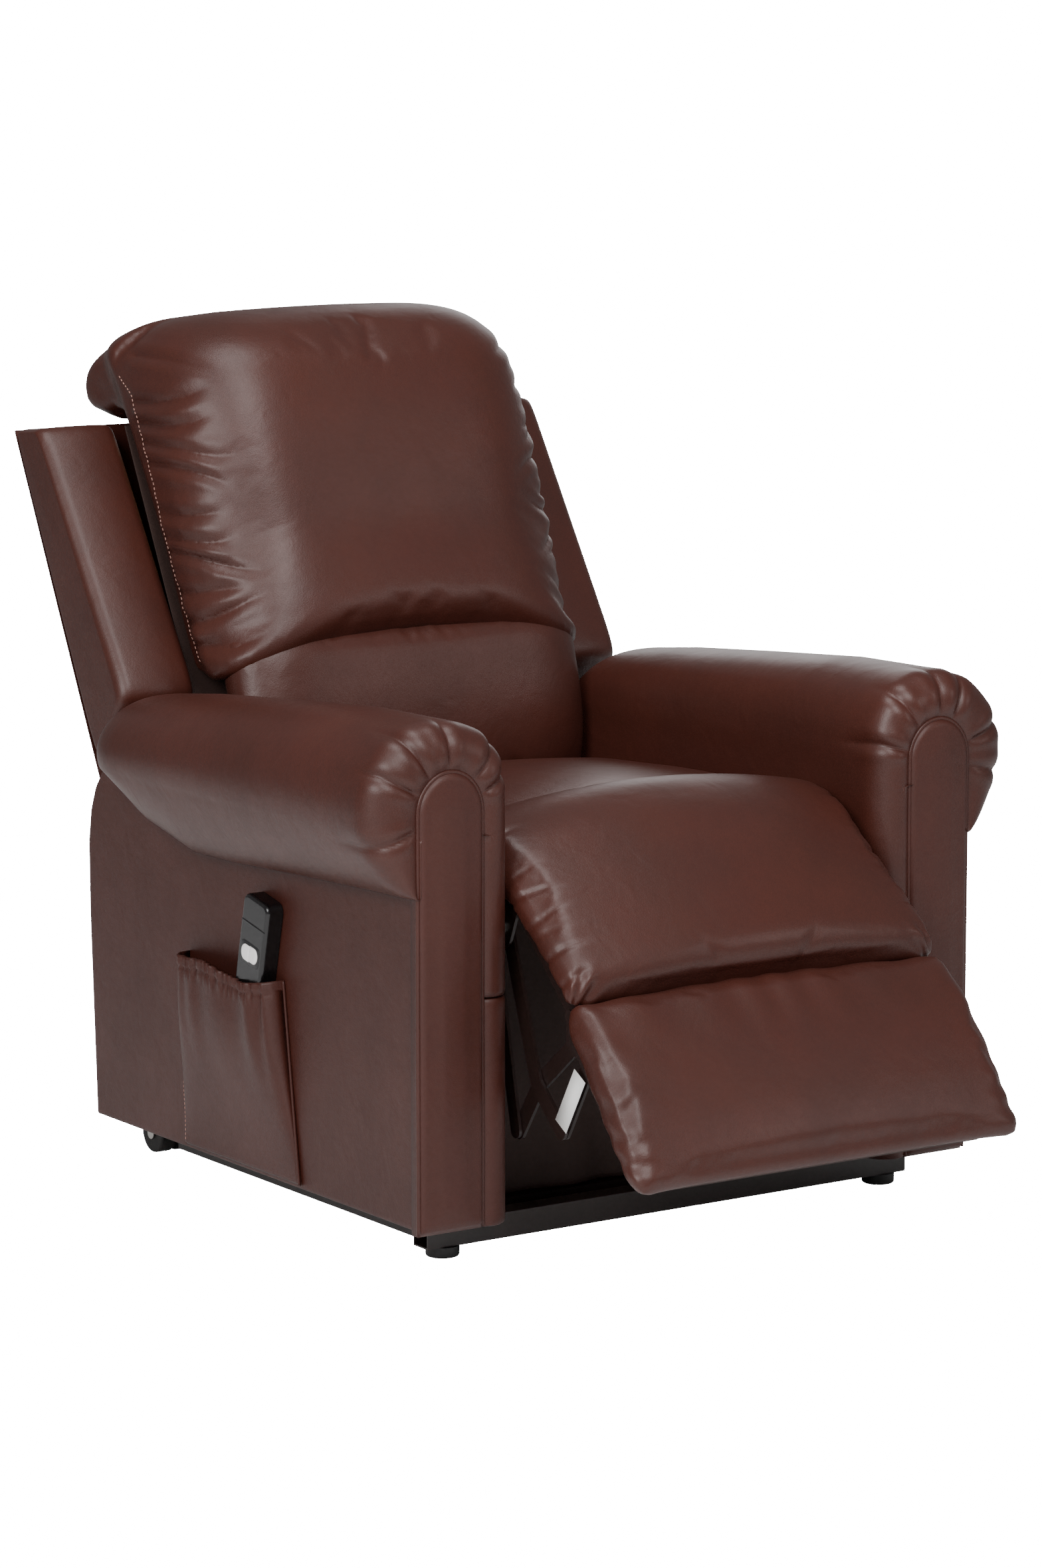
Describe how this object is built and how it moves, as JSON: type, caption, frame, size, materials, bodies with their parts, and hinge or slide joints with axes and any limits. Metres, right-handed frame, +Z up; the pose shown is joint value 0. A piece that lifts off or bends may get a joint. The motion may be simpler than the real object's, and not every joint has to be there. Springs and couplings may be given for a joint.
{
  "type": "recliner armchair",
  "caption": "Power riser recliner armchair with scroll arms, reclining back, folding footrest, lift base and a push-button handset in a side pocket.",
  "frame": {"origin": "on the floor under the middle of the overall box", "axes": "+X to the sitter's left, -Y the way the chair faces, +Z up"},
  "size_m": [0.918, 1.253, 1.0197],
  "materials": {
    "frame_paint": "satin",
    "bright_steel": "satin",
    "timber": "sawn",
    "wheel_rubber": "matt",
    "black_plastic": "matt",
    "handset_plastic": "satin",
    "button_plastic": "satin",
    "brown_leather": "satin",
    "padded_leather": "satin"
  },
  "bodies": {
    "base": {"base_front_rail": "frame_paint", "base_side_rails": "frame_paint", "base_cross_rails": "frame_paint", "front_feet": "black_plastic", "base_motor_rail": "frame_paint", "wheel_plates": "frame_paint", "wheel_axles": "bright_steel", "lift_towers": "frame_paint", "power_pack": "black_plastic", "power_inlet": "black_plastic"},
    "wheel_left_outer": {"wheel_left_outer": "wheel_rubber"},
    "wheel_left_inner": {"wheel_left_inner": "wheel_rubber"},
    "wheel_right_outer": {"wheel_right_outer": "wheel_rubber"},
    "wheel_right_inner": {"wheel_right_inner": "wheel_rubber"},
    "lower_lift": {"lower_lift_links": "frame_paint"},
    "upper_lift": {"upper_lift_links": "frame_paint"},
    "motor": {"motor_case": "black_plastic", "motor_tube": "bright_steel"},
    "motor_rod": {"motor_rod": "bright_steel"},
    "seat_unit": {"mechanism_plates": "frame_paint", "mechanism_pins": "bright_steel", "seat_rails": "timber", "seat_springs": "bright_steel", "drive_tube": "frame_paint", "lift_brackets": "frame_paint", "arm_frames": "timber", "side_panel_left": "brown_leather", "side_panel_right": "brown_leather", "inner_arm_left": "brown_leather", "inner_arm_right": "brown_leather", "arm_front_left": "padded_leather", "arm_front_right": "padded_leather", "arm_border_left": "padded_leather", "arm_border_right": "padded_leather", "arm_roll_left": "padded_leather", "arm_roll_right": "padded_leather", "rear_panel": "brown_leather", "footrest_flap": "brown_leather", "seat_cushion": "padded_leather", "pocket": "brown_leather"},
    "calf": {"calf_frame": "frame_paint", "calf_board": "timber", "calf_pad": "padded_leather"},
    "foot": {"foot_pad": "padded_leather", "foot_board": "timber", "foot_brackets": "frame_paint"},
    "long_link": {"long_links": "frame_paint"},
    "cross_link": {"cross_links": "frame_paint"},
    "stay_link": {"stay_links": "frame_paint"},
    "rear_link": {"rear_links": "frame_paint"},
    "backrest": {"back_frame": "timber", "back_brackets": "frame_paint", "back_cover": "brown_leather", "back_wing_left": "padded_leather", "back_wing_right": "padded_leather", "lumbar_pad": "padded_leather", "back_cushion": "padded_leather"},
    "handset": {"handset": "handset_plastic"},
    "button_up": {"button_up": "button_plastic"},
    "button_down": {"button_down": "button_plastic"}
  },
  "joints": [
    {"name": "lift", "type": "hinge", "parent": "base", "child": "lower_lift", "pos_m": [0, -0.223, 0.06], "axis": [1, 0, 0], "range_deg": [0, 34]},
    {"name": "seat_tilt", "type": "hinge", "parent": "lower_lift", "child": "seat_unit", "pos_m": [0, 0.147, 0.085], "axis": [1, 0, 0], "range_deg": [-10.4, 0.2]},
    {"name": "upper_lift_swing", "type": "hinge", "parent": "base", "child": "upper_lift", "pos_m": [0, -0.2427, 0.1017], "axis": [1, 0, 0], "range_deg": [-0.2, 32.8]},
    {"name": "motor_swing", "type": "hinge", "parent": "base", "child": "motor", "pos_m": [0, 0.147, 0.06], "axis": [1, 0, 0], "range_deg": [-0.2, 15.6]},
    {"name": "motor_stroke", "type": "slide", "parent": "motor", "child": "motor_rod", "axis": [0, -0.2425, 0.9701], "range_m": [-0.001, 0.212]},
    {"name": "footrest", "type": "hinge", "parent": "seat_unit", "child": "calf", "pos_m": [0, -0.337, 0.42], "axis": [-1, 0, 0], "range_deg": [-17, 24]},
    {"name": "foot_fold", "type": "hinge", "parent": "calf", "child": "foot", "pos_m": [0, -0.458, 0.302], "axis": [-1, 0, 0], "range_deg": [-19, 27]},
    {"name": "long_link_swing", "type": "hinge", "parent": "seat_unit", "child": "long_link", "pos_m": [0, -0.3208, 0.3823], "axis": [-1, 0, 0], "range_deg": [-21.6, 30.4]},
    {"name": "cross_link_swing", "type": "hinge", "parent": "long_link", "child": "cross_link", "pos_m": [0, -0.381, 0.209], "axis": [-1, 0, 0], "range_deg": [-16.8, 12]},
    {"name": "stay_link_swing", "type": "hinge", "parent": "long_link", "child": "stay_link", "pos_m": [0, -0.4297, 0.1629], "axis": [-1, 0, 0], "range_deg": [-13.6, 9.7]},
    {"name": "rear_link_swing", "type": "hinge", "parent": "seat_unit", "child": "rear_link", "pos_m": [0, -0.293, 0.36], "axis": [-1, 0, 0], "range_deg": [-20.2, 28.4]},
    {"name": "recline", "type": "hinge", "parent": "seat_unit", "child": "backrest", "pos_m": [0, 0.247, 0.42], "axis": [-1, 0, 0], "range_deg": [-10, 24]},
    {"name": "handset_slide", "type": "slide", "parent": "seat_unit", "child": "handset", "axis": [0, -0.2149, 0.9766], "range_m": [0, 0.035]},
    {"name": "button_up_press", "type": "slide", "parent": "handset", "child": "button_up", "axis": [1, 0, 0], "range_m": [0, 0.0012], "stiffness_N_per_m": 500, "springref_m": -0.0008},
    {"name": "button_down_press", "type": "slide", "parent": "handset", "child": "button_down", "axis": [1, 0, 0], "range_m": [0, 0.0012], "stiffness_N_per_m": 500, "springref_m": -0.0008},
    {"name": "wheel_left_outer_spin", "type": "hinge", "parent": "base", "child": "wheel_left_outer", "pos_m": [0, 0.335, 0.025], "axis": [1, 0, 0], "continuous": true},
    {"name": "wheel_left_inner_spin", "type": "hinge", "parent": "base", "child": "wheel_left_inner", "pos_m": [0, 0.335, 0.025], "axis": [1, 0, 0], "continuous": true},
    {"name": "wheel_right_outer_spin", "type": "hinge", "parent": "base", "child": "wheel_right_outer", "pos_m": [0, 0.335, 0.025], "axis": [1, 0, 0], "continuous": true},
    {"name": "wheel_right_inner_spin", "type": "hinge", "parent": "base", "child": "wheel_right_inner", "pos_m": [0, 0.335, 0.025], "axis": [1, 0, 0], "continuous": true}
  ],
  "couplings": [
    {"joint": "seat_tilt", "follows": "lift", "ratio": -0.3},
    {"joint": "upper_lift_swing", "follows": "lift", "ratio": 0.9537},
    {"joint": "motor_swing", "follows": "lift", "ratio": 0.4483},
    {"joint": "motor_stroke", "follows": "lift", "m_per_rad": 0.35359},
    {"joint": "foot_fold", "follows": "footrest", "ratio": 1.1},
    {"joint": "long_link_swing", "follows": "footrest", "ratio": 1.2544},
    {"joint": "cross_link_swing", "follows": "footrest", "ratio": -0.6835},
    {"joint": "stay_link_swing", "follows": "footrest", "ratio": -0.5534},
    {"joint": "rear_link_swing", "follows": "footrest", "ratio": 1.1705}
  ]
}
